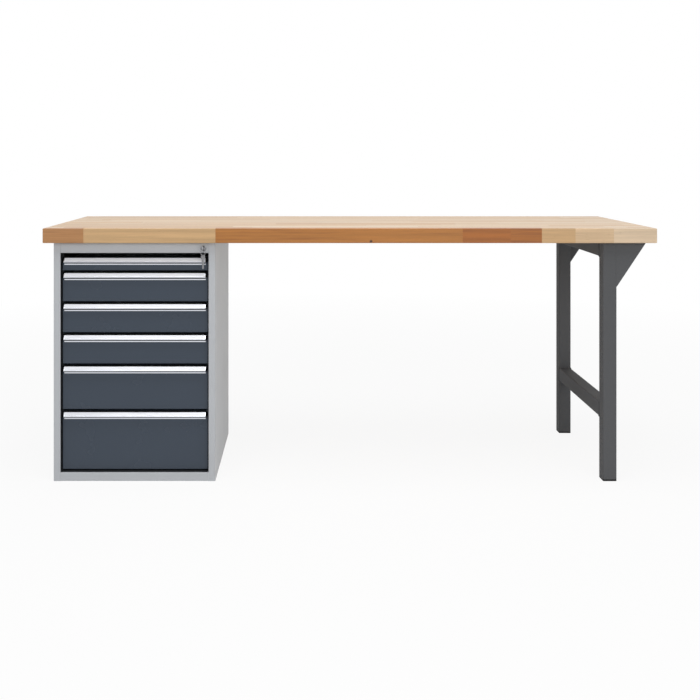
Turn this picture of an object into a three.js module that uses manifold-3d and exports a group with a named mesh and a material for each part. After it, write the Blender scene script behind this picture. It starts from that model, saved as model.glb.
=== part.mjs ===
// Workbench: a solid wooden top on a steel drawer cabinet at the left and a steel leg frame at the right.
// Millimetres, +Z up, the front faces -Y, and the origin is on the floor under the middle of the top.
import * as THREE from "three";
import { mergeVertices } from "three/addons/utils/BufferGeometryUtils.js";
import Module from "manifold-3d";

const wasm = await Module();
wasm.setup();

// Overall sizes
const benchLength = 2000;
const benchDepth = 700;
const benchHeight = 830;
const topThickness = 48;
const topEdgeRound = 2.5;
const frontSetback = 25;
const rearSetback = 20;

// Clearances: between fixed neighbours, and between pieces that slide or turn
const seatGap = 0.3;
const runGap = 0.4;

// Drawer cabinet
const cabinetWidth = 530;
const cabinetDepth = 600;
const cabinetOverhang = 30;
const sheet = 1.5;
const bendRound = 3;
const stileWidth = 22.5;
const stileReturn = 16;
const rearFlange = 15;
const topRailHeight = 34;
const bottomRailHeight = 29;
const railReturn = 16;
const skirtHeight = 25;

// Uprights inside the cabinet, welded to the side panels
const uprightWidth = 40;
const frontUprightY = 36;
const rearUprightInset = 100;
const uprightTopGap = 3;

// Telescopic slides
const slideInset = 1.5;
const slideWidth = 12;
const slideSheet = 1.2;
const slideLip = 7.5;
const slideHalfHeight = 12.2;
const slideRise = 13;
const slideFrontGap = 2;

// Drawers: upper fronts from the top down, and the last one takes the height that is left
const upperPitches = [50, 102, 102, 103, 150];
const firstDrawerGap = 14;
const drawerGap = 5;
const frontRecess = 18;
const frontSideGap = 4;
const frontSheet = 1.2;
const frontDepth = 14;
const frontFold = 1.6;
const frontFlange = 16;
const boxSheet = 1;
const boxLift = 8;
const boxHeadroom = 12;
const boxBackGap = 20;

// Handle extrusion with an inclined face that holds the label strip
const handleInset = 5.8;
const handleHeight = 17;
const handleTopReach = 5.5;
const handleLipReach = 17.6;
const handleLipHeight = 3;
const handleWall = 1.8;
const handleFlangeHeight = 26;
const handleRidgeReach = 5.2;
const handleRidgeHeight = 4;
const labelBorder = 1.6;
const labelDepth = 0.9;
const labelThickness = 0.5;
const labelEndInset = 3;

// Lock in the top rail, its key and ring, and the bar that holds the closed drawers
const lockInset = 39;
const lockDrop = 20;
const lockFlangeRadius = 10;
const lockFlangeThickness = 2;
const housingRadius = 8.5;
const housingLength = 26;
const coreRadius = 6;
const coreNose = 1;
const coreTail = 2;
const keyThickness = 2.2;
const keyBladeHeight = 7.4;
const keyBladeDepth = 14;
const keyCollar = 3;
const keyBowLength = 17;
const keyBowHeight = 24;
const keyHoleRadius = 2.3;
const keyHoleDrop = 7;
const ringRadius = 6.5;
const ringWire = 0.8;
const camRadius = 8;
const camThickness = 2;
const camPinRadius = 1.5;
const camPinLength = 6;
const lockTravel = 6;
const forkGap = 2;
const forkThickness = 2;
const forkHeight = 16;
const forkReach = 4;
const forkSlotGap = 0.6;
const barThickness = 2;
const barDepth = 16;
const barBehindUpright = 8;
const tabReach = 34;
const tabThickness = 2;
const tabHeight = 4;
const tabGap = 1;
const lugReach = 28;
const lugHeight = 3.6;
const lugDepth = 4;
const lugRise = 1.2;
const lugGap = 0.8;

// Leg frame
const legOverhang = 30;
const postWidth = 45;
const postDepth = 50;
const tubeWall = 2.5;
const tubeRound = 4;
const beamHeight = 49;
const crossbarHeight = 49;
const crossbarLift = 201;
const gussetWidth = 94;
const gussetHeight = 144;
const gussetSheet = 4;
const gussetNose = 3;
const gussetFlange = 35;
const footHeight = 5;
const footPlugHeight = 18;

// Facets: steps in a quarter arc, sides of a round piece and of ring wire, and how close two points count as one
const arcSteps = 3;
const roundSides = 24;
const wireSides = 8;
const mergeDistance = 1e-4;

// Places worked out from the sizes above
const topUnderside = benchHeight - topThickness;
const carcassHeight = topUnderside - seatGap;
const frontY = -benchDepth / 2 + frontSetback;
const cabinetX = -benchLength / 2 + cabinetOverhang;
const legX = benchLength / 2 - legOverhang - gussetWidth - postWidth;
const legDepth = benchDepth - frontSetback - rearSetback;
const railX = stileWidth + slideInset;
const bendInside = bendRound - sheet;
const middleX = railX + slideSheet + runGap;
const runnerX = middleX + slideSheet + runGap;
const middleHalfHeight = slideHalfHeight - slideSheet - runGap;
const runnerHalfHeight = middleHalfHeight - slideSheet - runGap;
const boxX = railX + slideWidth;
const boxFrontY = frontRecess + frontDepth + seatGap;
const boxBackY = cabinetDepth - boxBackGap;
const slideFrontY = frontRecess + frontDepth + slideFrontGap;
const backPanelY = cabinetDepth - 2 * sheet - seatGap;
const panelBackY = backPanelY - seatGap;
const lockX = cabinetWidth - lockInset;
const lockZ = carcassHeight - lockDrop;
const camY = housingLength + coreTail + seatGap;
const forkY = camY + camThickness + forkGap;
const camPinOffset = lockTravel / 2;
const barX = railX - runGap - barThickness;
const barY = frontUprightY + uprightWidth + barBehindUpright;
const tabY = barY + barDepth - tabThickness;
const lugY = tabY + tabThickness + lugGap;
const drawers = drawerHeights();

// Finishes: colour, roughness and metalness
const beech = [0xc39a6d, 0.55, 0];
const lightGreySteel = [0xb0b3b6, 0.5, 0.1];
const darkGreySteel = [0x565858, 0.55, 0.1];
const anthraciteSteel = [0x454d58, 0.35, 0.1];
const zincSteel = [0xa9adb0, 0.4, 0.8];
const aluminium = [0xcfd2d8, 0.35, 0.7];
const labelWhite = [0xe6e8ee, 0.4, 0];
const blackPlastic = [0x141414, 0.6, 0];
const nickel = [0xc8c8c4, 0.25, 0.9];

// Vertical places of the drawers, from the top one down.
function drawerHeights() {
  const firstTop = carcassHeight - topRailHeight - firstDrawerGap;
  const upperTotal = upperPitches.reduce((total, pitch) => total + pitch, 0);
  const lastPitch = firstTop - bottomRailHeight - upperTotal;
  let top = firstTop;
  return [...upperPitches, lastPitch].map((pitch) => {
    const drawer = { top, bottom: top - pitch };
    drawer.boxBottom = drawer.bottom + boxLift;
    drawer.boxTop = drawer.top - boxHeadroom;
    drawer.slideZ = drawer.boxBottom + slideRise;
    top = drawer.bottom;
    return drawer;
  });
}

// A closed solid from a geometry, with its shared points merged.
function solidFrom(geometry) {
  geometry.deleteAttribute("normal");
  geometry.deleteAttribute("uv");
  const merged = mergeVertices(geometry, mergeDistance);
  const vertProperties = Float32Array.from(merged.attributes.position.array);
  const triVerts = Uint32Array.from(merged.index.array);
  return new wasm.Manifold(new wasm.Mesh({ numProp: 3, vertProperties, triVerts }));
}

function geometryFrom(solid) {
  const mesh = solid.getMesh();
  const geometry = new THREE.BufferGeometry();
  geometry.setAttribute("position", new THREE.BufferAttribute(mesh.vertProperties, 3));
  geometry.setIndex(new THREE.BufferAttribute(mesh.triVerts, 1));
  geometry.computeVertexNormals();
  return geometry;
}

function joined(solids) {
  return solids.reduce((whole, solid) => whole.add(solid));
}

// A block between two limits on each axis, given in either order.
function block(xLimits, yLimits, zLimits) {
  const limits = [xLimits, yLimits, zLimits];
  const size = limits.map(([a, b]) => Math.abs(b - a));
  const middle = limits.map(([a, b]) => (a + b) / 2);
  const geometry = new THREE.BoxGeometry(...size);
  geometry.translate(...middle);
  return solidFrom(geometry);
}

// A prism along an axis. Its outline is (y, z) across x, (x, z) across y, or (x, y) across z.
function prism(axis, outline, from, to, holes = []) {
  const points = (list) => list.map(([a, b]) => new THREE.Vector2(a, b));
  const shape = new THREE.Shape(points(outline));
  shape.holes = holes.map((hole) => new THREE.Path(points(hole)));
  const geometry = new THREE.ExtrudeGeometry(shape, { depth: to - from, bevelEnabled: false });
  const turn = new THREE.Matrix4();
  const [xUnit, yUnit, zUnit] = [0, 1, 2].map((i) => new THREE.Vector3().setComponent(i, 1));
  if (axis === "x") {
    geometry.translate(0, 0, from);
    turn.makeBasis(yUnit, zUnit, xUnit);
  } else if (axis === "y") {
    geometry.translate(0, 0, -to);
    turn.makeBasis(xUnit, zUnit, yUnit.clone().negate());
  } else {
    geometry.translate(0, 0, from);
  }
  geometry.applyMatrix4(turn);
  return solidFrom(geometry);
}

// A round piece about the Y axis.
function rod(radius, fromY, toY, x = 0, z = 0) {
  const geometry = new THREE.CylinderGeometry(radius, radius, toY - fromY, roundSides);
  geometry.translate(x, (fromY + toY) / 2, z);
  return solidFrom(geometry);
}

// Points of a quarter arc that starts at the given quarter turn.
function quarterArc(centreA, centreB, radius, quarter) {
  return Array.from({ length: arcSteps + 1 }, (_, step) => {
    const angle = (quarter + step / arcSteps) * Math.PI / 2;
    return [centreA + radius * Math.cos(angle), centreB + radius * Math.sin(angle)];
  });
}

function roundedRectangle([a0, a1], [b0, b1], radius) {
  return [
    ...quarterArc(a1 - radius, b1 - radius, radius, 0),
    ...quarterArc(a0 + radius, b1 - radius, radius, 1),
    ...quarterArc(a0 + radius, b0 + radius, radius, 2),
    ...quarterArc(a1 - radius, b0 + radius, radius, 3),
  ];
}

function oval(centreA, centreB, radiusA, radiusB) {
  return Array.from({ length: roundSides }, (_, step) => {
    const angle = step / roundSides * 2 * Math.PI;
    return [centreA + radiusA * Math.cos(angle), centreB + radiusB * Math.sin(angle)];
  });
}

// Outline of a folded channel in (x, z), with its web at x and its lips towards +x.
function channel(x, lip, halfHeight, z) {
  return [
    [x, z - halfHeight],
    [x + lip, z - halfHeight],
    [x + lip, z - halfHeight + slideSheet],
    [x + slideSheet, z - halfHeight + slideSheet],
    [x + slideSheet, z + halfHeight - slideSheet],
    [x + lip, z + halfHeight - slideSheet],
    [x + lip, z + halfHeight],
    [x, z + halfHeight],
  ];
}

// Cabinet x of a point that is measured inwards from the given side.
function fromSide(side, x) {
  return side === "left" ? x : cabinetWidth - x;
}

function outlineFromSide(side, outline) {
  return outline.map(([x, other]) => [fromSide(side, x), other]);
}

function spanFromSide(side, x0, x1) {
  return [fromSide(side, x0), fromSide(side, x1)];
}

function addPiece(group, name, solid, [color, roughness, metalness]) {
  const material = new THREE.MeshStandardMaterial({ color, roughness, metalness });
  const mesh = new THREE.Mesh(geometryFrom(solid), material);
  mesh.name = name;
  group.add(mesh);
}

// Worktop: one glued slab with softened edges
function worktop() {
  const halfLength = benchLength / 2 - topEdgeRound;
  const halfDepth = benchDepth / 2 - topEdgeRound;
  const corners = [[-1, -1], [1, -1], [1, 1], [-1, 1]];
  const outline = corners.map(([a, b]) => new THREE.Vector2(a * halfLength, b * halfDepth));
  const geometry = new THREE.ExtrudeGeometry(new THREE.Shape(outline), {
    depth: topThickness - 2 * topEdgeRound,
    bevelThickness: topEdgeRound,
    bevelSize: topEdgeRound,
    bevelSegments: arcSteps,
  });
  geometry.translate(0, 0, topUnderside + topEdgeRound);
  return solidFrom(geometry);
}

// Side panel: skin folded into a stile at the front and a flange at the back, with uprights and rails.
// The stile's inner fold is filled square where the top and bottom rails meet it.
function sidePanel(side) {
  const stileBendX = stileWidth - bendRound;
  const rearBendY = cabinetDepth - bendRound;
  const skin = [
    ...quarterArc(bendRound, bendRound, bendRound, 2),
    ...quarterArc(stileBendX, bendRound, bendRound, 3),
    [stileWidth, stileReturn],
    [stileWidth - sheet, stileReturn],
    ...quarterArc(stileBendX, bendRound, bendInside, 3).reverse(),
    ...quarterArc(bendRound, bendRound, bendInside, 2).reverse(),
    ...quarterArc(bendRound, rearBendY, bendInside, 1).reverse(),
    [rearFlange, cabinetDepth - sheet],
    [rearFlange, cabinetDepth],
    ...quarterArc(bendRound, rearBendY, bendRound, 1),
  ];
  const panel = prism("z", outlineFromSide(side, skin), 0, carcassHeight);
  const corners = [[0, bottomRailHeight], [carcassHeight - topRailHeight, carcassHeight]].map((span) => {
    return block(spanFromSide(side, stileBendX, stileWidth), [0, bendRound], span);
  });
  const rearUprightY = cabinetDepth - rearUprightInset;
  const uprights = [frontUprightY, rearUprightY].map((y) => upright(side, y));
  const rails = drawers.map((drawer) => {
    const outline = channel(railX, slideLip, slideHalfHeight, drawer.slideZ);
    return prism("y", outlineFromSide(side, outline), slideFrontY, boxBackY);
  });
  return joined([panel, ...corners, ...uprights, ...rails]);
}

// Upright: a hat section that holds the slide rails off the side panel
function upright(side, y) {
  const foot = sheet / 2;
  const web = railX + slideSheet / 2;
  const outline = [
    [foot, y],
    [web, y],
    [web, y + uprightWidth],
    [foot, y + uprightWidth],
    [foot, y + uprightWidth - sheet],
    [web - sheet, y + uprightWidth - sheet],
    [web - sheet, y + sheet],
    [foot, y + sheet],
  ];
  const bottom = bottomRailHeight + seatGap;
  const top = carcassHeight - topRailHeight - uprightTopGap;
  return prism("z", outlineFromSide(side, outline), bottom, top);
}

// Horizontal panel between the stiles: a plate folded down into a front rail with a return and a rear skirt
function crossPanel(plateZ, railHeight) {
  const stileSpan = [stileWidth + seatGap, cabinetWidth - stileWidth - seatGap];
  const skinSpan = [sheet + seatGap, cabinetWidth - sheet - seatGap];
  const undersideZ = plateZ - sheet;
  const railZ = plateZ - railHeight;
  const skirtZ = plateZ - skirtHeight;
  const skirtY = panelBackY - sheet;
  const outline = [
    [panelBackY, plateZ],
    ...quarterArc(bendRound, plateZ - bendRound, bendRound, 1),
    ...quarterArc(bendRound, railZ + bendRound, bendRound, 2),
    [railReturn, railZ],
    [railReturn, railZ + sheet],
    ...quarterArc(bendRound, railZ + bendRound, bendInside, 2).reverse(),
    ...quarterArc(bendRound, plateZ - bendRound, bendInside, 1).reverse(),
    [skirtY, undersideZ],
    [skirtY, skirtZ],
    [panelBackY, skirtZ],
  ];
  return joined([
    prism("x", outline, ...stileSpan),
    block(skinSpan, [stileReturn + seatGap, panelBackY], [undersideZ, plateZ]),
    block(skinSpan, [skirtY, panelBackY], [skirtZ, plateZ]),
  ]);
}

function topPanel() {
  const lockHole = rod(housingRadius + seatGap, -sheet, 2 * sheet, lockX, lockZ);
  return crossPanel(carcassHeight, topRailHeight).subtract(lockHole);
}

function basePanel() {
  return crossPanel(bottomRailHeight, bottomRailHeight);
}

function backPanel() {
  const span = [bendRound + seatGap, cabinetWidth - bendRound - seatGap];
  return block(span, [backPanelY, backPanelY + sheet], [0, carcassHeight]);
}

function cabinet() {
  const group = new THREE.Group();
  group.position.set(cabinetX, frontY, 0);
  addPiece(group, "left_side_panel", sidePanel("left"), lightGreySteel);
  addPiece(group, "right_side_panel", sidePanel("right"), lightGreySteel);
  addPiece(group, "top_panel", topPanel(), lightGreySteel);
  addPiece(group, "base_panel", basePanel(), lightGreySteel);
  addPiece(group, "back_panel", backPanel(), lightGreySteel);
  drawers.forEach((drawer, index) => addDrawer(group, drawer, index + 1));
  addLock(group);
  return group;
}

// Drawer front: a pan folded from one sheet, with flanges at the back that meet the box
function drawerFront(drawer) {
  const z0 = drawer.bottom + drawerGap;
  const z1 = drawer.top;
  const span = [stileWidth + frontSideGap, cabinetWidth - stileWidth - frontSideGap];
  const outer = [
    [frontDepth, z1],
    ...quarterArc(frontFold, z1 - frontFold, frontFold, 1),
    ...quarterArc(frontFold, z0 + frontFold, frontFold, 2),
    [frontDepth, z0],
  ].map(([y, z]) => [frontRecess + y, z]);
  const shell = prism("x", outer, ...span);
  const backY = frontRecess + frontDepth;
  const hollow = block(
    [span[0] + frontSheet, span[1] - frontSheet],
    [frontRecess + frontSheet, backY - frontSheet],
    [z0 + frontSheet, z1 - frontSheet],
  );
  const mouth = block(
    [span[0] + frontFlange, span[1] - frontFlange],
    [backY - 2 * frontSheet, backY + frontSheet],
    [z0 + frontFlange, z1 - frontFlange],
  );
  return shell.subtract(hollow).subtract(mouth);
}

// Points along the inclined handle face: a distance down the slope and a height above it.
function onHandleSlope(drawer, along, above) {
  const run = handleLipReach - handleTopReach;
  const drop = handleHeight - handleLipHeight;
  const slope = Math.hypot(run, drop);
  const reach = handleTopReach + (along * run + above * drop) / slope;
  const z = drawer.top + (above * run - along * drop) / slope;
  return [frontRecess - reach, z];
}

function handleSlopeLength() {
  return Math.hypot(handleLipReach - handleTopReach, handleHeight - handleLipHeight);
}

function handleSpan() {
  const inset = stileWidth + frontSideGap + handleInset;
  return [inset, cabinetWidth - inset];
}

// Handle: a flange with a ridge at its foot, an inclined face with a channel for the label, and a lip to pull
function drawerHandle(drawer) {
  const length = handleSlopeLength();
  const backY = frontRecess - seatGap;
  const lipY = frontRecess - handleLipReach;
  const lipZ = drawer.top - handleHeight;
  const ridgeY = frontRecess - handleRidgeReach;
  const ridgeZ = drawer.top - handleFlangeHeight;
  const insideTop = onHandleSlope(drawer, 0, -labelDepth - handleWall);
  const insideLip = onHandleSlope(drawer, length, -labelDepth - handleWall);
  const outline = [
    [backY, drawer.top],
    onHandleSlope(drawer, 0, 0),
    onHandleSlope(drawer, labelBorder, 0),
    onHandleSlope(drawer, labelBorder, -labelDepth),
    onHandleSlope(drawer, length - labelBorder, -labelDepth),
    onHandleSlope(drawer, length - labelBorder, 0),
    onHandleSlope(drawer, length, 0),
    [lipY, lipZ],
    [insideLip[0], lipZ],
    insideLip,
    [insideTop[0], drawer.top - handleWall],
    [backY - handleWall, drawer.top - handleWall],
    [backY - handleWall, ridgeZ + handleRidgeHeight],
    [ridgeY, ridgeZ + handleRidgeHeight],
    [ridgeY, ridgeZ],
    [backY, ridgeZ],
  ];
  return prism("x", outline, ...handleSpan());
}

function drawerLabel(drawer) {
  const start = labelBorder + seatGap;
  const end = handleSlopeLength() - labelBorder - seatGap;
  const floor = seatGap - labelDepth;
  const outline = [
    onHandleSlope(drawer, start, floor),
    onHandleSlope(drawer, end, floor),
    onHandleSlope(drawer, end, floor + labelThickness),
    onHandleSlope(drawer, start, floor + labelThickness),
  ];
  const [x0, x1] = handleSpan();
  return prism("x", outline, x0 + labelEndInset, x1 - labelEndInset);
}

// Drawer box: an open tray with a slide runner on each side and a locking lug on the right
function drawerBox(drawer) {
  const span = [boxX, cabinetWidth - boxX];
  const tray = block(span, [boxFrontY, boxBackY], [drawer.boxBottom, drawer.boxTop]);
  const inside = block(
    [span[0] + boxSheet, span[1] - boxSheet],
    [boxFrontY + boxSheet, boxBackY - boxSheet],
    [drawer.boxBottom + boxSheet, drawer.boxTop + boxSheet],
  );
  const runners = ["left", "right"].map((side) => {
    const lip = boxX + boxSheet / 2 - runnerX;
    const outline = channel(runnerX, lip, runnerHalfHeight, drawer.slideZ);
    return prism("y", outlineFromSide(side, outline), slideFrontY, boxBackY);
  });
  const lugZ = drawer.slideZ + slideHalfHeight + lugRise;
  const lug = block(
    spanFromSide("right", lugReach, boxX + boxSheet / 2),
    [lugY, lugY + lugDepth],
    [lugZ, lugZ + lugHeight],
  );
  return joined([tray.subtract(inside), ...runners, lug]);
}

function slideMiddle(side, drawer) {
  const outline = channel(middleX, slideLip, middleHalfHeight, drawer.slideZ);
  return prism("y", outlineFromSide(side, outline), slideFrontY, boxBackY);
}

function addDrawer(group, drawer, number) {
  addPiece(group, `drawer_${number}_box`, drawerBox(drawer), zincSteel);
  addPiece(group, `drawer_${number}_front`, drawerFront(drawer), anthraciteSteel);
  addPiece(group, `drawer_${number}_handle`, drawerHandle(drawer), aluminium);
  addPiece(group, `drawer_${number}_label`, drawerLabel(drawer), labelWhite);
  addPiece(group, `slide_${number}_left`, slideMiddle("left", drawer), zincSteel);
  addPiece(group, `slide_${number}_right`, slideMiddle("right", drawer), zincSteel);
}

// Lock housing: a flanged sleeve through the top rail
function lockHousing() {
  const bore = coreRadius + runGap;
  const flangeFront = -seatGap - lockFlangeThickness;
  const flange = rod(lockFlangeRadius, flangeFront, -seatGap);
  const barrel = rod(housingRadius, flangeFront, housingLength);
  return flange.add(barrel).subtract(rod(bore, flangeFront - coreNose, housingLength + coreNose));
}

function lockNoseY() {
  return -seatGap - lockFlangeThickness - coreNose;
}

function lockCore() {
  const slotHalfWidth = keyThickness / 2 + seatGap;
  const slotHalfHeight = keyBladeHeight / 2 + seatGap;
  const slot = block(
    [-slotHalfWidth, slotHalfWidth],
    [lockNoseY() - coreNose, keyBladeDepth + seatGap],
    [-slotHalfHeight, slotHalfHeight],
  );
  return rod(coreRadius, lockNoseY(), housingLength + coreTail).subtract(slot);
}

function keyHoleY() {
  return lockNoseY() - keyCollar - keyBowLength / 2;
}

// Key in the lock: a blade in the core and an oval bow with a hole for the ring
function lockKey() {
  const half = keyThickness / 2;
  const bowCentreY = keyHoleY();
  const blade = block([-half, half], [bowCentreY, keyBladeDepth], [-keyBladeHeight / 2, keyBladeHeight / 2]);
  const bowOutline = oval(bowCentreY, 0, keyBowLength / 2, keyBowHeight / 2);
  const holeOutline = oval(bowCentreY, -keyHoleDrop, keyHoleRadius, keyHoleRadius);
  const hole = prism("x", holeOutline, -keyThickness, keyThickness);
  return prism("x", bowOutline, -half, half).add(blade).subtract(hole);
}

// The ring hangs on the lower edge of the hole in the key.
function ringCentreZ() {
  return -keyHoleDrop - keyHoleRadius + seatGap + ringWire - ringRadius;
}

function keyRing() {
  const geometry = new THREE.TorusGeometry(ringRadius, ringWire, wireSides, roundSides);
  geometry.rotateX(Math.PI / 2);
  geometry.translate(0, keyHoleY(), ringCentreZ());
  return solidFrom(geometry);
}

// Cam: a disc behind the core with a crank pin that lifts and lowers the locking bar
function lockCam() {
  const disc = rod(camRadius, camY, camY + camThickness);
  const pin = rod(camPinRadius, camY, camY + camThickness + camPinLength, camPinOffset, camPinOffset);
  return disc.add(pin);
}

// Locking bar: a fork on the cam pin, an arm to the side, and a strip with a tab above each slide
function lockingBar() {
  const pinZ = lockZ + camPinOffset;
  const forkZ = [pinZ - forkHeight / 2, pinZ + forkHeight / 2];
  const strip = spanFromSide("right", barX, barX + barThickness);
  const slotHalf = camPinRadius + forkSlotGap;
  const slotEnd = lockX + camPinOffset * Math.SQRT2 + slotHalf;
  const fork = block([lockX - forkReach, strip[0]], [forkY, forkY + forkThickness], forkZ);
  const slot = block(
    [lockX - 2 * forkReach, slotEnd],
    [forkY - forkThickness, forkY + 2 * forkThickness],
    [pinZ - slotHalf, pinZ + slotHalf],
  );
  const arm = block(strip, [forkY, barY + barDepth], forkZ);
  const lowest = drawers[drawers.length - 1].slideZ;
  const upright = block(strip, [barY, barY + barDepth], [lowest, forkZ[1]]);
  const tabs = drawers.map((drawer) => {
    const z = drawer.slideZ + slideHalfHeight + tabGap + lockTravel;
    return block(spanFromSide("right", barX, tabReach), [tabY, tabY + tabThickness], [z, z + tabHeight]);
  });
  return joined([fork.subtract(slot), arm, upright, ...tabs]);
}

function addLock(group) {
  const lock = new THREE.Group();
  lock.position.set(lockX, 0, lockZ);
  group.add(lock);
  addPiece(lock, "lock_housing", lockHousing(), nickel);
  addPiece(lock, "lock_core", lockCore(), nickel);
  addPiece(lock, "lock_cam", lockCam(), zincSteel);
  addPiece(lock, "key", lockKey(), nickel);
  addPiece(lock, "key_ring", keyRing(), nickel);
  addPiece(group, "locking_bar", lockingBar(), zincSteel);
}

// Leg frame: tube posts, beam and crossbar, with flanged gussets and plastic feet
function tube(axis, aLimits, bLimits, from, to) {
  const inner = ([low, high]) => [low + tubeWall, high - tubeWall];
  const bore = roundedRectangle(inner(aLimits), inner(bLimits), tubeRound - tubeWall);
  return prism(axis, roundedRectangle(aLimits, bLimits, tubeRound), from, to, [bore]);
}

function legPost(y) {
  return tube("z", [0, postWidth], [y, y + postDepth], footHeight + seatGap, carcassHeight);
}

function crossTube(z, height) {
  const from = postDepth + seatGap;
  return tube("y", [0, postWidth], [z, z + height], from, legDepth - from);
}

function legFoot(y) {
  const inset = tubeWall + seatGap;
  const pad = roundedRectangle([0, postWidth], [y, y + postDepth], tubeRound);
  const plugX = [inset, postWidth - inset];
  const plugY = [y + inset, y + postDepth - inset];
  const plug = roundedRectangle(plugX, plugY, tubeRound - tubeWall);
  return prism("z", pad, 0, footHeight).add(prism("z", plug, 0, footHeight + footPlugHeight));
}

// Gusset: a flared plate flush with the outer face of its post, with a flange under the worktop.
// The plate reaches round the post's rounded corner, so that the two faces meet.
function gusset(faceY, inward) {
  const x0 = postWidth + seatGap;
  const x1 = postWidth + gussetWidth;
  const cornerX = postWidth - tubeRound;
  const lowZ = carcassHeight - gussetHeight;
  const outline = [
    [cornerX, lowZ],
    [x0, lowZ],
    [x1, carcassHeight - gussetNose],
    [x1, carcassHeight],
    [cornerX, carcassHeight],
  ];
  const plate = prism("y", outline, ...inOrder(faceY, faceY + inward * gussetSheet));
  const flangeZ = [carcassHeight - gussetNose, carcassHeight];
  const flange = block([x0, x1], [faceY, faceY + inward * gussetFlange], flangeZ);
  return plate.subtract(postClearance(faceY, inward)).add(flange);
}

function inOrder(a, b) {
  return [Math.min(a, b), Math.max(a, b)];
}

// The room that a post takes up, with a gap all round.
function postClearance(faceY, inward) {
  const [y0, y1] = inOrder(faceY, faceY + inward * postDepth);
  const xLimits = [-seatGap, postWidth + seatGap];
  const yLimits = [y0 - seatGap, y1 + seatGap];
  return prism("z", roundedRectangle(xLimits, yLimits, tubeRound + seatGap), 0, benchHeight);
}

function legFrame() {
  const group = new THREE.Group();
  group.position.set(legX, frontY, 0);
  const rearY = legDepth - postDepth;
  addPiece(group, "front_post", legPost(0), darkGreySteel);
  addPiece(group, "rear_post", legPost(rearY), darkGreySteel);
  addPiece(group, "leg_top_beam", crossTube(carcassHeight - beamHeight, beamHeight), darkGreySteel);
  addPiece(group, "leg_crossbar", crossTube(crossbarLift, crossbarHeight), darkGreySteel);
  addPiece(group, "front_gusset", gusset(0, 1), darkGreySteel);
  addPiece(group, "rear_gusset", gusset(legDepth, -1), darkGreySteel);
  addPiece(group, "front_foot", legFoot(0), blackPlastic);
  addPiece(group, "rear_foot", legFoot(rearY), blackPlastic);
  return group;
}

const bench = new THREE.Group();
addPiece(bench, "worktop", worktop(), beech);
bench.add(cabinet());
bench.add(legFrame());

export default bench;
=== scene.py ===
"""Looks of the workbench: finishes for every solid, a white studio and the camera of the photograph."""
import math

import bmesh
import bpy
from mathutils import Matrix, Vector


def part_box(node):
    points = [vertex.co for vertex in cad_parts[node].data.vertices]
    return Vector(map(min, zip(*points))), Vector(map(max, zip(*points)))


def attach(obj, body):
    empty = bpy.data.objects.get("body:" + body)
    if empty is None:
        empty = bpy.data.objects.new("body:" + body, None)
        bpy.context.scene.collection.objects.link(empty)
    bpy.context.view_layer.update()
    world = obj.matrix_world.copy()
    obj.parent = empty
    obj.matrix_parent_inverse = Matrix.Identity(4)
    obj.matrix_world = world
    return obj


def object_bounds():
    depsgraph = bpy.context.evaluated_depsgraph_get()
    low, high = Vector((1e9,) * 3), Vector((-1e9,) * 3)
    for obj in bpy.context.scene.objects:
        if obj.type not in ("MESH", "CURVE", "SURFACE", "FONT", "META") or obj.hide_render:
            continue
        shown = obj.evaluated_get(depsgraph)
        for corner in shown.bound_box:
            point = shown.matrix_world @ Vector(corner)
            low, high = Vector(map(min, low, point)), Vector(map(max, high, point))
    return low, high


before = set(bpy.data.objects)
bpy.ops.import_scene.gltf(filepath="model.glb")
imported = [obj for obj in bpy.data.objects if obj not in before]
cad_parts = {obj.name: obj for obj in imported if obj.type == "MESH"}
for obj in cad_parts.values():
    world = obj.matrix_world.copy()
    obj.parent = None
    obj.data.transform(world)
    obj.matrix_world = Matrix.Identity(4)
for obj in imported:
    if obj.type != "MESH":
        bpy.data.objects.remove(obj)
cad_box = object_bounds()


def srgb(red, green, blue):
    """A linear colour from 8-bit sRGB values."""
    def linear(value):
        value = value / 255
        return value / 12.92 if value <= 0.04045 else ((value + 0.055) / 1.055) ** 2.4
    return (linear(red), linear(green), linear(blue), 1.0)


# Camera: frame, focal length and vanishing point in the photograph's pixels, and its place in metres
FRAME_PX = 700
FOCAL_PX = 1064
VANISH_X_PX = 305.6
VANISH_Y_PX = 155.9
CAMERA_PLACE = (-0.144, -3.812, 1.066)
SENSOR_MM = 36.0

# Softboxes: place, what each points at, width and height in metres, and power in watts
SOFTBOXES = {
    "key_light": ((-1.8, -4.8, 2.5), (-0.5, 0.0, 0.45), (2.4, 1.6), 30.0),
    "low_light": ((2.4, -5.8, 2.2), (0.3, 0.0, 0.4), (4.0, 2.2), 75.0),
    "top_light": ((0.0, -1.0, 3.6), (0.0, -0.2, 0.8), (3.0, 2.4), 72.0),
}
WHITE = (1.0, 1.0, 1.0, 1.0)
AMBIENT = 0.3

# Floor: its size and the distances over which it fades to full white, in metres
FLOOR_SIZE = 60.0
FLOOR_FADE = (1.2, 4.5)

# Floor: its paint, and how white it looks near the object
FLOOR_PAINT = (0.9, 0.9, 0.9, 1.0)
FLOOR_ROUGHNESS = 0.9
FLOOR_WHITE = 0.90

# Drawers, from the top down
DRAWERS = range(1, 7)

# Worktop staves, in metres: row width, usual length, front row and its joints, and half of a glue line
STAVE_WIDTH = 0.044
STAVE_LENGTH = 0.62
FRONT_ROW_Y = -0.362
FRONT_JOINTS = (-0.871, -0.445, 0.361, 0.521, 0.622, 0.733, 0.853)
SIDE_GLUE = 0.0004
END_GLUE = 0.0005

# Knot in the front edge: its place and radius in metres, and the part of the radius that is fully dark
KNOT_PLACE = (0.069, -0.35, 0.788)
KNOT_RADIUS = 0.006
KNOT_CORE = 0.4

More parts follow.
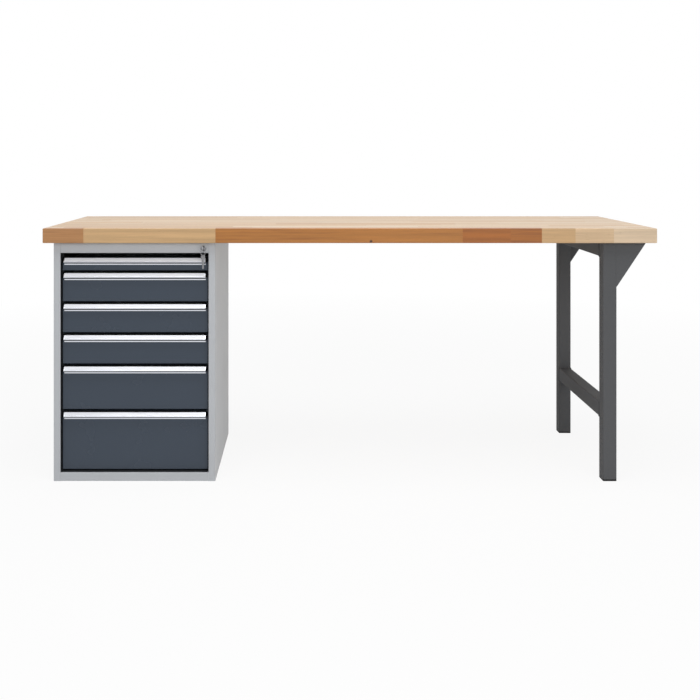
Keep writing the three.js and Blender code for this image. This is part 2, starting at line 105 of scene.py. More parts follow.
# Tones of the staves from 0 dark to 1 pale: the front row's, the range of the others, and their colours
FRONT_TONES = (0.43, 0.75, 0.31, 0.12, 0.16, 0.73, 0.86, 0.99)
USUAL_TONES = (0.64, 1.0)
BEECH_COLOURS = (
    (0.0, srgb(154, 82, 20)),
    (0.3, srgb(176, 114, 48)),
    (0.5, srgb(187, 141, 98)),
    (0.75, srgb(203, 166, 120)),
    (1.0, srgb(218, 194, 164)),
)
STREAK_COLOUR = srgb(112, 58, 26)
KNOT_COLOUR = srgb(58, 34, 20)
FLECK_COLOUR = srgb(128, 78, 44)
GLUE_COLOUR = srgb(110, 72, 42)
GLUE_STRENGTH = 0.45

# Beech: steps that set the staves apart, and scale along X, Y and Z, detail and roughness of each grain
ROW_STAGGER = 0.37
FRONT_GRAIN_STEP = 9.0
PIECE_STEP = 3.7
ROW_STEP_Y = 1.9
ROW_STEP_Z = 0.7
LONG_GRAIN = ((1.6, 60.0, 60.0), 5.0, 0.6)
FINE_GRAIN = ((9.0, 520.0, 520.0), 3.0, 0.6)
FLECKS = ((55.0, 620.0, 620.0), 1.0, 0.5)
STREAKS = ((5.0, 170.0, 170.0), 2.0, 0.5)

# Beech: what part of each noise counts, and the tone, strength or roughness that it gives
LONG_GRAIN_PART = (0.28, 0.72)
LONG_GRAIN_TONE = (0.80, 1.16)
FINE_GRAIN_PART = (0.3, 0.7)
FINE_GRAIN_TONE = (0.93, 1.07)
FLECK_PART = (0.66, 0.78)
FLECK_STRENGTH = (0.0, 0.30)
STREAK_PART = (0.52, 0.70)
STREAKED_TONES = (0.1, 0.6)
STREAK_STRENGTH = (0.6, 0.0)
BEECH_ROUGHNESS = (0.30, 0.43)
GRAIN_RELIEF = 0.5
BEECH_BUMP = (0.25, 0.0004)

# Powder coats: colours
LIGHT_GREY = srgb(188, 191, 195)
# Painted shade: the darker colour that the inside of the cabinet takes in place of the light grey coat
CABINET_INSIDE_SHADE = srgb(52, 54, 57)
DARK_GREY = srgb(94, 95, 97)
ANTHRACITE = srgb(61, 71, 84)

# Powder coats: noise scales, and the tone, gloss and relief that they give
CLOUD_SCALE = 3.0
CLOUD_TONE = (0.95, 1.05)
SPECK_SCALE = 700.0
SPECK_TONE = (0.97, 1.03)
GLOSS_SCALE = 9.0
GLOSS_SPREAD = 0.05
PEEL_SCALE = 420.0
PEEL_DEPTH = 0.0006
COAT_DETAIL = 3.0

# Metals: colours, scales of their fine lines along X, Y and Z, and what the lines change
ALUMINIUM = srgb(214, 217, 224)
# Painted shade for the front-facing back of the handle grips
GRIP_PAINTED_SHADE = srgb(34, 35, 38)
NICKEL = srgb(146, 146, 148)
EXTRUSION_LINES = (3.0, 900.0, 900.0)
PLATED_LINES = (400.0, 400.0, 400.0)
LINE_DETAIL = 3.0
LINE_TONE = (0.92, 1.06)
LINE_SPREAD = 0.07
LINE_BUMP = (0.05, 0.0002)
# Faces whose normal points further to the front than this take the painted shade in the grip
SHADE_FACING = -0.5

# Zinc-plated sheet: colour, size of its crystals, and what they change
ZINC = srgb(186, 190, 193)
ZINC_METAL = 0.85
SPANGLE_SCALE = 110.0
SPANGLE_TONE = (0.90, 1.05)
SPANGLE_ROUGHNESS = (0.34, 0.50)
SHEET_SCALE = 300.0
SHEET_BUMP = (0.05, 0.0004)

# Label strips: paper colour, its fibre and cloud, and the clear cover
PAPER = srgb(242, 244, 250)
FIBRE_SCALE = 1500.0
FIBRE_DETAIL = 3.0
FIBRE_TONE = (0.97, 1.03)
PAPER_CLOUD = (6.0, 40.0, 40.0)
PAPER_CLOUD_TONE = (0.95, 1.04)
PAPER_ROUGHNESS = (0.30, 0.42)
COVER_WEIGHT = 0.6
COVER_ROUGHNESS = 0.12

# Moulded plastic: colour, its eroded grain and what it changes
BLACK = srgb(12, 12, 13)
EROSION_SCALE = 1300.0
EROSION_TONE = (0.85, 1.15)
EROSION_BUMP = (0.25, 0.0003)
PLASTIC_GLOSS_SCALE = 30.0
PLASTIC_ROUGHNESS = (0.6, 0.75)

# Where shade is painted, in metres: inside the cabinet, and on the hidden back of the handle grips
INSIDE_LOW = (-0.9685, -0.3225, 0.0015)
INSIDE_HIGH = (-0.4415, 0.2725, 0.7805)
GRIP_BACK_Y = -0.3118

# Handles, in metres: how far the inclined face stands out at its top and at its lip, and its heights
HANDLE_TOP_REACH = 0.0055
HANDLE_LIP_REACH = 0.0176
HANDLE_LIP_HEIGHT = 0.003
HANDLE_HEIGHT = 0.017

# Trim of the handles, in metres: the label rail's thickness and how much it covers, and an end cap's length
# The rail and caps are trim pieces whose nearly black finish paints the shade of the gaps above and beside
# each label
RAIL_THICKNESS = 0.0009
RAIL_COVER = 0.0040
CAP_LENGTH = 0.005

# Spare key on the ring, in metres: where it hangs, and its bow, hole and blade
SPARE_TOP = (-0.479, -0.3398, 0.7425)
SPARE_BOW_RADIUS = 0.0078
SPARE_HOLE_RADIUS = 0.0025
SPARE_BLADE_WIDTH = 0.0070
SPARE_BLADE_LENGTH = 0.030
SPARE_THICKNESS = 0.0022
SPARE_NOTCH_DEPTH = 0.0016

# Spare key: its turn about the vertical, and where the blade starts, as a share of the bow's radius
SPARE_TURN = math.radians(40)
BLADE_START = 0.8

# Notches of the spare key: their number, the share of the blade that has them, and floor and end of each
SPARE_NOTCHES = 4
NOTCHED_SHARE = 0.7
NOTCH_FLOOR = 0.4
NOTCH_END = 0.9

# Rolled rims of the drawer trays, weld beads of the leg and screws of the back panel, in metres
TRAY_SIDES = (-0.9335, -0.4765)
RIM_RADIUS = 0.0017
BEAD_RADIUS = 0.0018
SCREW_RADIUS = 0.0042
SCREW_HEIGHT = 0.0024
SCREW_COLUMNS = (-0.9615, -0.4485)
SCREW_HEIGHTS = (0.06, 0.23, 0.40, 0.57, 0.74)

# Sides of a rod, and steps of a round outline
ROD_SIDES = 12
ROUND_STEPS = 24

# Edge rounding of folded sheet, cut parts and trim: width in metres, and the least angle that is rounded
SHEET_EDGE = 0.0004
CUT_EDGE = 0.0006
TRIM_EDGE = 0.0004
SOLID_EDGE_ANGLE = math.radians(50)
TRIM_EDGE_ANGLE = math.radians(30)
EDGE_SEGMENTS = 2
WELD_DISTANCE = 0.00001

# Pieces that share a finish
CABINET_PANELS = ("left_side_panel", "right_side_panel", "top_panel", "base_panel", "back_panel")
LEG_PIECES = ("front_post", "rear_post", "leg_top_beam", "leg_crossbar", "front_gusset", "rear_gusset")


# Node helpers

def new_material(name):
    material = bpy.data.materials.new(name)
    material.use_nodes = True
    tree = material.node_tree
    return material, tree, tree.nodes["Principled BSDF"]


def connect(tree, value, socket):
    """Set a socket to a value, or link another socket to it."""
    if isinstance(value, bpy.types.NodeSocket):
        tree.links.new(value, socket)
    else:
        socket.default_value = value


def add_node(tree, kind, settings=None, ordered=(), **named):
    """A node with its settings. Inputs come in order or by name, each a value or a socket to link."""
    node = tree.nodes.new(kind)
    for key, value in (settings or {}).items():
        setattr(node, key, value)
    for value, socket in zip(ordered, node.inputs):
        connect(tree, value, socket)
    for key, value in named.items():
        connect(tree, value, node.inputs[key.replace("_", " ")])
    return node


def math_node(tree, operation, first, second=0.0):
    return add_node(tree, "ShaderNodeMath", {"operation": operation}, (first, second)).outputs[0]


def vector_node(tree, operation, first, second=(0.0, 0.0, 0.0)):
    return add_node(tree, "ShaderNodeVectorMath", {"operation": operation}, (first, second)).outputs


def object_coordinates(tree):
    return add_node(tree, "ShaderNodeTexCoord").outputs["Object"]


def split_axes(tree, vector):
    return add_node(tree, "ShaderNodeSeparateXYZ", Vector=vector).outputs


def join_axes(tree, x, y, z=0.0):
    return add_node(tree, "ShaderNodeCombineXYZ", X=x, Y=y, Z=z).outputs[0]


def noise(tree, place, scale, detail=2.0, roughness=0.5):
    node = add_node(tree, "ShaderNodeTexNoise", Vector=place, Scale=scale, Detail=detail,
                    Roughness=roughness)
    return node.outputs["Fac"]


def stretched_noise(tree, place, scales, detail=2.0, roughness=0.5):
    """Noise with its own scale along X, Y and Z."""
    stretched = add_node(tree, "ShaderNodeMapping", {"vector_type": "POINT"}, Vector=place, Scale=scales)
    return noise(tree, stretched.outputs[0], 1.0, detail, roughness)


def white_noise(tree, dimensions, **inputs):
    node = add_node(tree, "ShaderNodeTexWhiteNoise", {"noise_dimensions": dimensions}, **inputs)
    return node.outputs["Value"]


def remap(tree, value, to_range, from_range=(0.0, 1.0)):
    """The value, moved from one range to another and kept within it."""
    ordered = (value, *from_range, *to_range)
    return add_node(tree, "ShaderNodeMapRange", None, ordered).outputs[0]


def named_socket(sockets, identifier):
    return next(socket for socket in sockets if socket.identifier == identifier)


def mix_colour(tree, factor, first, second, blend="MIX"):
    node = add_node(tree, "ShaderNodeMix", {"data_type": "RGBA", "blend_type": blend})
    connect(tree, factor, named_socket(node.inputs, "Factor_Float"))
    connect(tree, first, named_socket(node.inputs, "A_Color"))
    connect(tree, second, named_socket(node.inputs, "B_Color"))
    return named_socket(node.outputs, "Result_Color")


def tinted(tree, colour, tone):
    return mix_colour(tree, 1.0, colour, tone, "MULTIPLY")


def ramp(tree, value, stops, interpolation="LINEAR"):
    """A colour ramp. Stops are (position, colour) pairs in order."""
    node = add_node(tree, "ShaderNodeValToRGB", Fac=value)
    node.color_ramp.interpolation = interpolation
    elements = node.color_ramp.elements
    while len(elements) < len(stops):
        elements.new(1.0)
    for element, (position, colour) in zip(elements, stops):
        element.position = position
        element.color = colour
    return node.outputs["Color"]


def add_bump(tree, shader, height, strength, distance):
    node = add_node(tree, "ShaderNodeBump", Height=height, Strength=strength, Distance=distance)
    connect(tree, node.outputs[0], shader.inputs["Normal"])


def within(tree, value, low, high):
    """1 where the value lies between the two limits."""
    above = math_node(tree, "GREATER_THAN", value, low)
    below = math_node(tree, "LESS_THAN", value, high)
    return math_node(tree, "MULTIPLY", above, below)


def around(value, spread):
    return (value - spread, value + spread)


def inside_cabinet(tree, place):
    """1 on surfaces inside the cabinet's skin, where shade is painted, 0 outside."""
    axes = split_axes(tree, place)
    mask = 1.0
    for axis, low, high in zip("XYZ", INSIDE_LOW, INSIDE_HIGH):
        mask = math_node(tree, "MULTIPLY", within(tree, axes[axis], low, high), mask)
    return mask


# Materials

def powder_coat(name, colour, roughness, peel=0.10, specular=0.5, inside=None):
    """Baked powder coat: orange peel, a slight cloud in the colour and uneven gloss.

    A second colour paints shade on the surfaces inside the cabinet.
    """
    material, tree, shader = new_material(name)
    place = object_coordinates(tree)
    cloud = remap(tree, noise(tree, place, CLOUD_SCALE), CLOUD_TONE)
    speck = remap(tree, noise(tree, place, SPECK_SCALE), SPECK_TONE)
    # Painted shade: surfaces inside the cabinet take the second, darker colour
    if inside:
        colour = mix_colour(tree, inside_cabinet(tree, place), colour, inside)
    shade = tinted(tree, colour, math_node(tree, "MULTIPLY", cloud, speck))
    connect(tree, shade, shader.inputs["Base Color"])
    shader.inputs["Specular IOR Level"].default_value = specular
    gloss = remap(tree, noise(tree, place, GLOSS_SCALE, COAT_DETAIL), around(roughness, GLOSS_SPREAD))
    connect(tree, gloss, shader.inputs["Roughness"])
    add_bump(tree, shader, noise(tree, place, PEEL_SCALE, COAT_DETAIL), peel, PEEL_DEPTH)
    return material


def grey(tone):
    return (tone, tone, tone, 1.0)


def front_row_tone(tree, x):
    """Tone along the front row, whose joints and tones follow the photograph."""
    half_length = cad_box[1][0]
    stops = [(0.0, grey(FRONT_TONES[0]))]
    for joint, tone in zip(FRONT_JOINTS, FRONT_TONES[1:]):
        stops.append(((joint + half_length) / (2 * half_length), grey(tone)))
    ratio = remap(tree, x, (0.0, 1.0), (-half_length, half_length))
    return ramp(tree, ratio, stops, "CONSTANT")


def staves(tree, place):
    """Pattern of the worktop: place counted in rows and staves, a mask of the front row, and the tone."""
    axes = split_axes(tree, place)
    from_front = math_node(tree, "SUBTRACT", axes["Y"], FRONT_ROW_Y)
    across = math_node(tree, "DIVIDE", from_front, STAVE_WIDTH)
    row = math_node(tree, "FLOOR", across)
    lengths = math_node(tree, "DIVIDE", axes["X"], STAVE_LENGTH)
    along = math_node(tree, "ADD", lengths, white_noise(tree, "1D", W=row))
    along = math_node(tree, "ADD", along, math_node(tree, "MULTIPLY", row, ROW_STAGGER))
    piece = math_node(tree, "FLOOR", along)
    random_tone = white_noise(tree, "3D", Vector=join_axes(tree, row, piece))
    is_front = math_node(tree, "LESS_THAN", across, 1.0)
    front_tone = front_row_tone(tree, axes["X"])
    front_piece = math_node(tree, "MULTIPLY", front_tone, FRONT_GRAIN_STEP)
    return {
        "across": across,
        "along": along,
        "row": row,
        "is_front": is_front,
        "piece": mix_colour(tree, is_front, piece, front_piece),
        "tone": mix_colour(tree, is_front, remap(tree, random_tone, USUAL_TONES), front_tone),
    }


def stave_place(tree, place, pattern):
    """The place, moved by its stave, so that no grain runs from one stave into the next."""
    step_x = math_node(tree, "MULTIPLY", pattern["piece"], PIECE_STEP)
    step_y = math_node(tree, "MULTIPLY", pattern["row"], ROW_STEP_Y)
    step_z = math_node(tree, "MULTIPLY", pattern["row"], ROW_STEP_Z)
    return vector_node(tree, "ADD", place, join_axes(tree, step_x, step_y, step_z))["Vector"]


def beech():
    """Oiled edge-glued beech: staves of different tone, long grain, short flecks and thin glue lines."""
    material, tree, shader = new_material("beech")
    place = object_coordinates(tree)
    pattern = staves(tree, place)
    own = stave_place(tree, place, pattern)
    long_grain = stretched_noise(tree, own, *LONG_GRAIN)
    fine_grain = stretched_noise(tree, own, *FINE_GRAIN)
    long_tone = remap(tree, long_grain, LONG_GRAIN_TONE, LONG_GRAIN_PART)
    fine_tone = remap(tree, fine_grain, FINE_GRAIN_TONE, FINE_GRAIN_PART)
    shade = ramp(tree, pattern["tone"], BEECH_COLOURS)
    shade = tinted(tree, shade, math_node(tree, "MULTIPLY", long_tone, fine_tone))
    shade = mix_colour(tree, streaks(tree, own, pattern["tone"]), shade, STREAK_COLOUR)
    shade = mix_colour(tree, knot(tree, place), shade, KNOT_COLOUR)
    flecks = remap(tree, stretched_noise(tree, own, *FLECKS), FLECK_STRENGTH, FLECK_PART)
    shade = mix_colour(tree, flecks, shade, FLECK_COLOUR)
    glue = glue_lines(tree, pattern)
    shade = mix_colour(tree, math_node(tree, "MULTIPLY", glue, GLUE_STRENGTH), shade, GLUE_COLOUR)
    connect(tree, shade, shader.inputs["Base Color"])
    connect(tree, remap(tree, long_grain, BEECH_ROUGHNESS), shader.inputs["Roughness"])
    relief = math_node(tree, "MULTIPLY", fine_grain, GRAIN_RELIEF)
    add_bump(tree, shader, math_node(tree, "SUBTRACT", relief, glue), *BEECH_BUMP)
    return material


def streaks(tree, own, tone):
    """How strongly dark streaks show. They are strongest in the darkest staves."""
    strength = remap(tree, tone, STREAK_STRENGTH, STREAKED_TONES)
    place = remap(tree, stretched_noise(tree, own, *STREAKS), (0.0, 1.0), STREAK_PART)
    return math_node(tree, "MULTIPLY", place, strength)


def knot(tree, place):
    """1 in a small knot near the lower front edge."""
    distance = vector_node(tree, "DISTANCE", place, KNOT_PLACE)["Value"]
    return remap(tree, distance, (1.0, 0.0), (KNOT_RADIUS * KNOT_CORE, KNOT_RADIUS))


def near_joint(tree, count, reach):
    """1 where a place counted in staves lies within reach of a whole number, 0 elsewhere."""
    distance = math_node(tree, "PINGPONG", count, 0.5)
    return math_node(tree, "LESS_THAN", distance, reach)


def glue_lines(tree, pattern):
    """1 in the thin glue joints, 0 elsewhere. The front row's joints show by their tone alone."""
    side_line = near_joint(tree, pattern["across"], SIDE_GLUE / STAVE_WIDTH)
    end_line = near_joint(tree, pattern["along"], END_GLUE / STAVE_LENGTH)
    behind = math_node(tree, "SUBTRACT", 1.0, pattern["is_front"])
    return math_node(tree, "MAXIMUM", side_line, math_node(tree, "MULTIPLY", end_line, behind))


def lined_metal(name, colour, roughness, line_scales, painted_shade_mask=None):
    """Metal with fine lines. Where the mask of painted shade is 1, the metal is painted dark."""
    material, tree, shader = new_material(name)
    lines = stretched_noise(tree, object_coordinates(tree), line_scales, LINE_DETAIL)
    shade = tinted(tree, colour, remap(tree, lines, LINE_TONE))
    # Painted shade: the masked part of the metal is darkened
    if painted_shade_mask:
        shade = mix_colour(tree, painted_shade_mask(tree), shade, GRIP_PAINTED_SHADE)
    connect(tree, shade, shader.inputs["Base Color"])
    shader.inputs["Metallic"].default_value = 1.0
    connect(tree, remap(tree, lines, around(roughness, LINE_SPREAD)), shader.inputs["Roughness"])
    add_bump(tree, shader, lines, *LINE_BUMP)
    return material


def grip_shade_mask(tree):
    """1 on the front-facing back of the handle's grip, where shade is painted."""
    coordinates = add_node(tree, "ShaderNodeTexCoord").outputs
    depth = split_axes(tree, coordinates["Object"])["Y"]
    facing = split_axes(tree, coordinates["Normal"])["Y"]
    at_back = math_node(tree, "GREATER_THAN", depth, GRIP_BACK_Y)
    return math_node(tree, "MULTIPLY", at_back, math_node(tree, "LESS_THAN", facing, SHADE_FACING))


def zinc_sheet():
    """Zinc-plated sheet with a soft crystal pattern."""
    material, tree, shader = new_material("zinc_sheet")
    place = object_coordinates(tree)
    cells = add_node(tree, "ShaderNodeTexVoronoi", Vector=place, Scale=SPANGLE_SCALE)
    spangle = add_node(tree, "ShaderNodeSeparateColor", Color=cells.outputs["Color"]).outputs[0]
    connect(tree, tinted(tree, ZINC, remap(tree, spangle, SPANGLE_TONE)), shader.inputs["Base Color"])
    shader.inputs["Metallic"].default_value = ZINC_METAL
    connect(tree, remap(tree, spangle, SPANGLE_ROUGHNESS), shader.inputs["Roughness"])
    add_bump(tree, shader, noise(tree, place, SHEET_SCALE), *SHEET_BUMP)
    return material


def label_strip():
    """Blank paper strip behind a clear cover."""
    material, tree, shader = new_material("label_strip")
    place = object_coordinates(tree)
    fibre = remap(tree, noise(tree, place, FIBRE_SCALE, FIBRE_DETAIL), FIBRE_TONE)
    cloud = stretched_noise(tree, place, PAPER_CLOUD)
    tone = math_node(tree, "MULTIPLY", fibre, remap(tree, cloud, PAPER_CLOUD_TONE))
    connect(tree, tinted(tree, PAPER, tone), shader.inputs["Base Color"])
    connect(tree, remap(tree, cloud, PAPER_ROUGHNESS), shader.inputs["Roughness"])
    shader.inputs["Coat Weight"].default_value = COVER_WEIGHT
    shader.inputs["Coat Roughness"].default_value = COVER_ROUGHNESS
    return material


def moulded_plastic(name, specular):
    """Black moulded plastic with a fine eroded grain."""
    material, tree, shader = new_material(name)
    place = object_coordinates(tree)
    grain = noise(tree, place, EROSION_SCALE)
    connect(tree, tinted(tree, BLACK, remap(tree, grain, EROSION_TONE)), shader.inputs["Base Color"])
    shader.inputs["Specular IOR Level"].default_value = specular
    gloss = remap(tree, noise(tree, place, PLASTIC_GLOSS_SCALE), PLASTIC_ROUGHNESS)
    connect(tree, gloss, shader.inputs["Roughness"])
    add_bump(tree, shader, grain, *EROSION_BUMP)
    return material


def assign(material, nodes):
    for name in nodes:
        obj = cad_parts[name]
        obj.data.materials.clear()
        obj.data.materials.append(material)


def of_drawers(piece):
    return [f"drawer_{number}_{piece}" for number in DRAWERS]


def assign_materials():
    assign(beech(), ["worktop"])
    light_grey = powder_coat("light_grey_coat", LIGHT_GREY, roughness=0.42, inside=CABINET_INSIDE_SHADE)
    assign(light_grey, CABINET_PANELS)
    dark_grey = powder_coat("dark_grey_coat", DARK_GREY, roughness=0.6, specular=0.06)
    assign(dark_grey, LEG_PIECES)
    anthracite = powder_coat("anthracite_coat", ANTHRACITE, roughness=0.26, peel=0.02, specular=0.35)
    assign(anthracite, of_drawers("front"))
    aluminium = lined_metal("anodised_aluminium", ALUMINIUM, roughness=0.30, line_scales=EXTRUSION_LINES,
                            painted_shade_mask=grip_shade_mask)
    assign(aluminium, of_drawers("handle"))
    assign(label_strip(), of_drawers("label"))
    assign(moulded_plastic("black_plastic", specular=0.2), ["front_foot", "rear_foot"])
    # Black trim with almost no sheen, as painted shade in the gaps above and beside each label
    moulded_plastic("black_shade_trim", specular=0.03)
    slides = [f"slide_{number}_{side}" for number in DRAWERS for side in ("left", "right")]
    assign(zinc_sheet(), slides + of_drawers("box") + ["locking_bar", "lock_cam"])
    nickel = lined_metal("nickel_plate", NICKEL, roughness=0.24, line_scales=PLATED_LINES)
    assign(nickel, ["lock_housing", "lock_core", "key", "key_ring"])


# Edges and details

def round_edges(obj, width, least_angle, harden):
    edge = obj.modifiers.new("edge", "BEVEL")
    edge.width = width
    edge.segments = EDGE_SEGMENTS
    edge.limit_method = "ANGLE"
    edge.angle_limit = least_angle
    edge.harden_normals = harden


def soften_edges():
    """A small round on every sharp edge of the solids, so that edges catch light."""
    thin = [*CABINET_PANELS, *of_drawers("box")]
    for name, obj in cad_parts.items():
        weld = obj.modifiers.new("weld", "WELD")
        weld.merge_threshold = WELD_DISTANCE
        round_edges(obj, SHEET_EDGE if name in thin else CUT_EDGE, SOLID_EDGE_ANGLE, harden=True)


def add_detail(name, mesh, material, body):
    """A new piece from a mesh, which rides on a body and takes its finish from a slot."""
    data = bpy.data.meshes.new(name)
    mesh.to_mesh(data)
    mesh.free()
    data.materials.append(bpy.data.materials[material])
    obj = bpy.data.objects.new(name, data)
    bpy.context.collection.objects.link(obj)
    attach(obj, body)
    return obj


def add_rods(name, rods, material, body):
    """One piece of straight round rods. Each rod is its two ends and its radius."""
    mesh = bmesh.new()
    for start, end, radius in rods:
        start, end = Vector(start), Vector(end)
        axis = end - start
        turn = axis.to_track_quat("Z", "Y").to_matrix().to_4x4()
        place = Matrix.Translation((start + end) / 2) @ turn
        bmesh.ops.create_cone(mesh, cap_ends=True, segments=ROD_SIDES, radius1=radius, radius2=radius,
                              depth=axis.length, matrix=place)
    for face in mesh.faces:
        face.smooth = len(face.verts) < ROD_SIDES
    add_detail(name, mesh, material, body)


def add_band(mesh, first, second):
    """Faces between two closed loops with the same number of points."""
    for step in range(len(first)):
        after = (step + 1) % len(first)
        mesh.faces.new((first[step], first[after], second[after], second[step]))


def add_prisms(name, prisms, material, body):
    """One piece of straight prisms along X. Each has its outline as (y, z) points and its two ends."""
    mesh = bmesh.new()
    for outline, start, end in prisms:
        first = [mesh.verts.new((start, y, z)) for y, z in outline]
        last = [mesh.verts.new((end, y, z)) for y, z in outline]
        mesh.faces.new(first)
        mesh.faces.new(last)
        add_band(mesh, first, last)
    bmesh.ops.recalc_face_normals(mesh, faces=mesh.faces)
    obj = add_detail(name, mesh, material, body)
    round_edges(obj, TRIM_EDGE, TRIM_EDGE_ANGLE, harden=False)


def handle_outlines(back, lip, top):
    """Outlines of a handle's label rail and end cap, as (y, z) points."""
    run = HANDLE_LIP_REACH - HANDLE_TOP_REACH
    drop = HANDLE_HEIGHT - HANDLE_LIP_HEIGHT
    slope = math.hypot(run, drop)
    upper_y = lip + run

    def on_slope(along, above):
        """The point at a distance down the inclined face and a height above it."""
        y = upper_y - (along * run + above * drop) / slope
        z = top + (above * run - along * drop) / slope
        return (y, z)

    rail_top = top + RAIL_THICKNESS
    rail = [
        (back, top),
        on_slope(0.0, 0.0),
        on_slope(RAIL_COVER, 0.0),
        on_slope(RAIL_COVER, RAIL_THICKNESS),
        (on_slope(0.0, RAIL_THICKNESS)[0], rail_top),
        (back, rail_top),
    ]
    cap = [
        (back, top),
        on_slope(0.0, 0.0),
        on_slope(slope, 0.0),
        (lip, top - HANDLE_HEIGHT),
        (back, top - HANDLE_HEIGHT),
    ]
    return rail, cap


def add_handle_trim():
    """A black rail that holds the upper edge of each label strip, and black caps on the handle's ends, made
    nearly black as painted shade of the gaps there.
    """
    for number in DRAWERS:
        low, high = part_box(f"drawer_{number}_handle")
        left, lip, _ = low
        right, back, top = high
        rail, cap = handle_outlines(back, lip, top)
        caps = [(cap, left - CAP_LENGTH, left), (cap, right, right + CAP_LENGTH)]
        body = f"drawer_{number}"
        add_prisms(f"{body}_label_rail", [(rail, left, right)], "black_shade_trim", body)
        add_prisms(f"{body}_end_caps", caps, "black_shade_trim", body)


def add_tray_rims():
    """A rolled edge along the sides and the back of each drawer tray."""
    left, right = TRAY_SIDES
    for number in DRAWERS:
        low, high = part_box(f"drawer_{number}_box")
        front = low[1] + RIM_RADIUS
        back = high[1] - RIM_RADIUS
        top = high[2]
        rods = [
            ((left, front, top), (left, back, top), RIM_RADIUS),
            ((right, front, top), (right, back, top), RIM_RADIUS),
            ((left, back, top), (right, back, top), RIM_RADIUS),
        ]
        add_rods(f"drawer_{number}_rim", rods, "zinc_sheet", f"drawer_{number}")


def add_weld_beads():
    """Weld beads where the beam and the crossbar meet the posts."""
    rods = []
    for name in ("leg_top_beam", "leg_crossbar"):
        (left, front, bottom), (right, back, top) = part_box(name)
        for y in (front, back):
            corners = [(left, y, bottom), (right, y, bottom), (right, y, top), (left, y, top)]
            for start, end in zip(corners, corners[1:] + corners[:1]):
                rods.append((start, end, BEAD_RADIUS))
    add_rods("leg_weld_beads", rods, "dark_grey_coat", "bench")


def add_back_screws():
    """Pan-head screws that hold the back panel in the rear flanges."""
    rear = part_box("left_side_panel")[1][1]
    rods = []
    for x in SCREW_COLUMNS:
        for z in SCREW_HEIGHTS:
            rods.append(((x, rear, z), (x, rear + SCREW_HEIGHT, z), SCREW_RADIUS))
    add_rods("back_panel_screws", rods, "nickel_plate", "bench")


def circle(x0, z0, radius):
    angles = [math.tau * step / ROUND_STEPS for step in range(ROUND_STEPS)]
    return [(x0 + radius * math.cos(angle), z0 + radius * math.sin(angle)) for angle in angles]


def add_loop(mesh, outline, y):
    return [mesh.verts.new((x, y, z)) for x, z in outline]


def add_spare_key():
    """The loose spare key, which hangs on the ring and moves with it."""
    mesh = bmesh.new()
    x0, y0, top = SPARE_TOP
    hole_z = top - SPARE_HOLE_RADIUS
    bow_z = hole_z - SPARE_BOW_RADIUS / 2
    front = y0 - SPARE_THICKNESS / 2
    back = y0 + SPARE_THICKNESS / 2
    bow = circle(x0, bow_z, SPARE_BOW_RADIUS)
    hole = circle(x0, hole_z, SPARE_HOLE_RADIUS)
    front_bow = add_loop(mesh, bow, front)
    front_hole = add_loop(mesh, hole, front)
    back_bow = add_loop(mesh, bow, back)
    back_hole = add_loop(mesh, hole, back)
    add_band(mesh, front_bow, front_hole)
    add_band(mesh, back_hole, back_bow)
    add_band(mesh, back_bow, front_bow)
    add_band(mesh, front_hole, back_hole)
    blade = blade_outline(x0, bow_z - SPARE_BOW_RADIUS * BLADE_START)
    front_blade = add_loop(mesh, blade, front)
    back_blade = add_loop(mesh, blade, back)
    mesh.faces.new(front_blade)
    mesh.faces.new(back_blade)
    add_band(mesh, front_blade, back_blade)
    bmesh.ops.recalc_face_normals(mesh, faces=mesh.faces)
    turn = Matrix.Rotation(SPARE_TURN, 3, "Z")
    bmesh.ops.rotate(mesh, verts=mesh.verts, cent=SPARE_TOP, matrix=turn)
    add_detail("spare_key", mesh, "nickel_plate", "key_ring")


def blade_outline(x0, top):
    """A flat blade with notches cut into its right edge and a pointed tip, as (x, z) points."""
    half = SPARE_BLADE_WIDTH / 2
    bottom = top - SPARE_BLADE_LENGTH
    outline = [(x0 - half, top), (x0 - half, bottom), (x0, bottom - half), (x0 + half, bottom)]
    pitch = SPARE_BLADE_LENGTH * NOTCHED_SHARE / SPARE_NOTCHES
    for notch in range(SPARE_NOTCHES):
        z = bottom + pitch * notch
        outline.append((x0 + half - SPARE_NOTCH_DEPTH, z + pitch * NOTCH_FLOOR))
        outline.append((x0 + half, z + pitch * NOTCH_END))
    outline.append((x0 + half, top))
    return outline


# Studio

def seen_directly(tree):
    """1 for what the camera sees, also by reflection or through glass, and 0 for light on the object."""
    rays = add_node(tree, "ShaderNodeLightPath").outputs
    seen = math_node(tree, "MAXIMUM", rays["Is Camera Ray"], rays["Is Glossy Ray"])
    return math_node(tree, "MAXIMUM", seen, rays["Is Transmission Ray"])


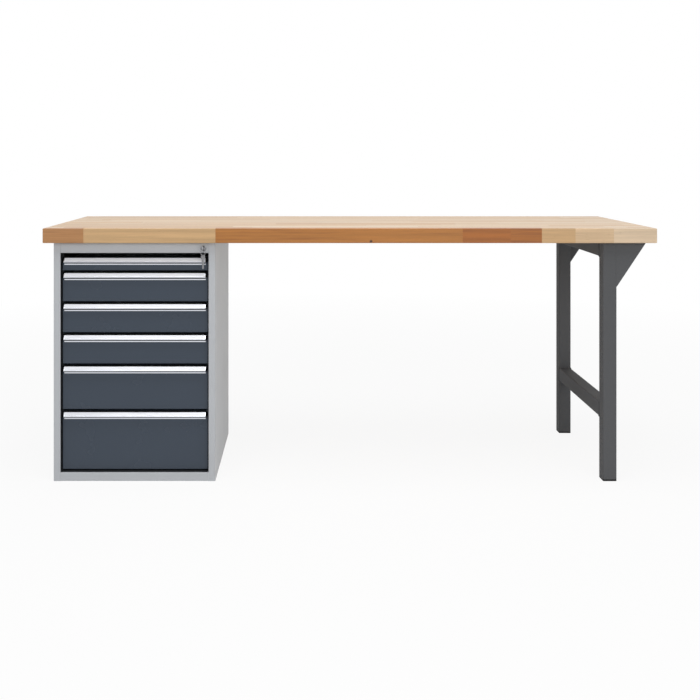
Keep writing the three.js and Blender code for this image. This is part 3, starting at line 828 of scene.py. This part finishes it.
def add_floor():
    """A pale floor that the camera sees as white, with the object's shadow kept faint on it."""
    bpy.ops.mesh.primitive_plane_add(size=FLOOR_SIZE, location=(0.0, 0.0, 0.0))
    floor = bpy.context.object
    floor.name = "floor"
    material, tree, shader = new_material("white_floor")
    shader.inputs["Base Color"].default_value = FLOOR_PAINT
    shader.inputs["Roughness"].default_value = FLOOR_ROUGHNESS
    shader.inputs["Specular IOR Level"].default_value = 0.0
    distance = vector_node(tree, "LENGTH", object_coordinates(tree))["Value"]
    white = remap(tree, distance, (FLOOR_WHITE, 1.0), FLOOR_FADE)
    share = math_node(tree, "MULTIPLY", seen_directly(tree), white)
    glow = add_node(tree, "ShaderNodeEmission", Color=WHITE, Strength=1.0)
    ordered = (share, shader.outputs[0], glow.outputs[0])
    blend = add_node(tree, "ShaderNodeMixShader", None, ordered)
    connect(tree, blend.outputs[0], tree.nodes["Material Output"].inputs["Surface"])
    floor.data.materials.append(material)


def add_world():
    """White all round for the camera and for reflections, and a softer even light on the object."""
    world = bpy.data.worlds.new("studio")
    bpy.context.scene.world = world
    world.use_nodes = True
    tree = world.node_tree
    background = tree.nodes["Background"]
    background.inputs["Color"].default_value = WHITE
    connect(tree, remap(tree, seen_directly(tree), (AMBIENT, 1.0)), background.inputs["Strength"])


def add_softbox(name, place, target, size, power):
    light = bpy.data.lights.new(name, "AREA")
    light.shape = "RECTANGLE"
    light.size, light.size_y = size
    light.energy = power
    obj = bpy.data.objects.new(name, light)
    bpy.context.collection.objects.link(obj)
    obj.location = place
    direction = Vector(target) - Vector(place)
    tilt = math.acos(-direction.z / direction.length)
    turn = math.atan2(-direction.x, direction.y)
    obj.rotation_euler = (tilt, 0.0, turn)


def add_camera():
    data = bpy.data.cameras.new("camera")
    data.sensor_width = SENSOR_MM
    data.lens = FOCAL_PX / FRAME_PX * SENSOR_MM
    data.shift_x = (FRAME_PX / 2 - VANISH_X_PX) / FRAME_PX
    data.shift_y = (VANISH_Y_PX - FRAME_PX / 2) / FRAME_PX
    camera = bpy.data.objects.new("camera", data)
    camera.location = CAMERA_PLACE
    camera.rotation_euler = (math.pi / 2, 0.0, 0.0)
    bpy.context.collection.objects.link(camera)
    bpy.context.scene.camera = camera


def add_studio():
    bpy.context.scene.view_settings.view_transform = "Standard"
    add_world()
    add_floor()
    for name, settings in SOFTBOXES.items():
        add_softbox(name, *settings)
    add_camera()


assign_materials()
soften_edges()
add_handle_trim()
add_tray_rims()
add_weld_beads()
add_back_screws()
add_spare_key()
add_studio()
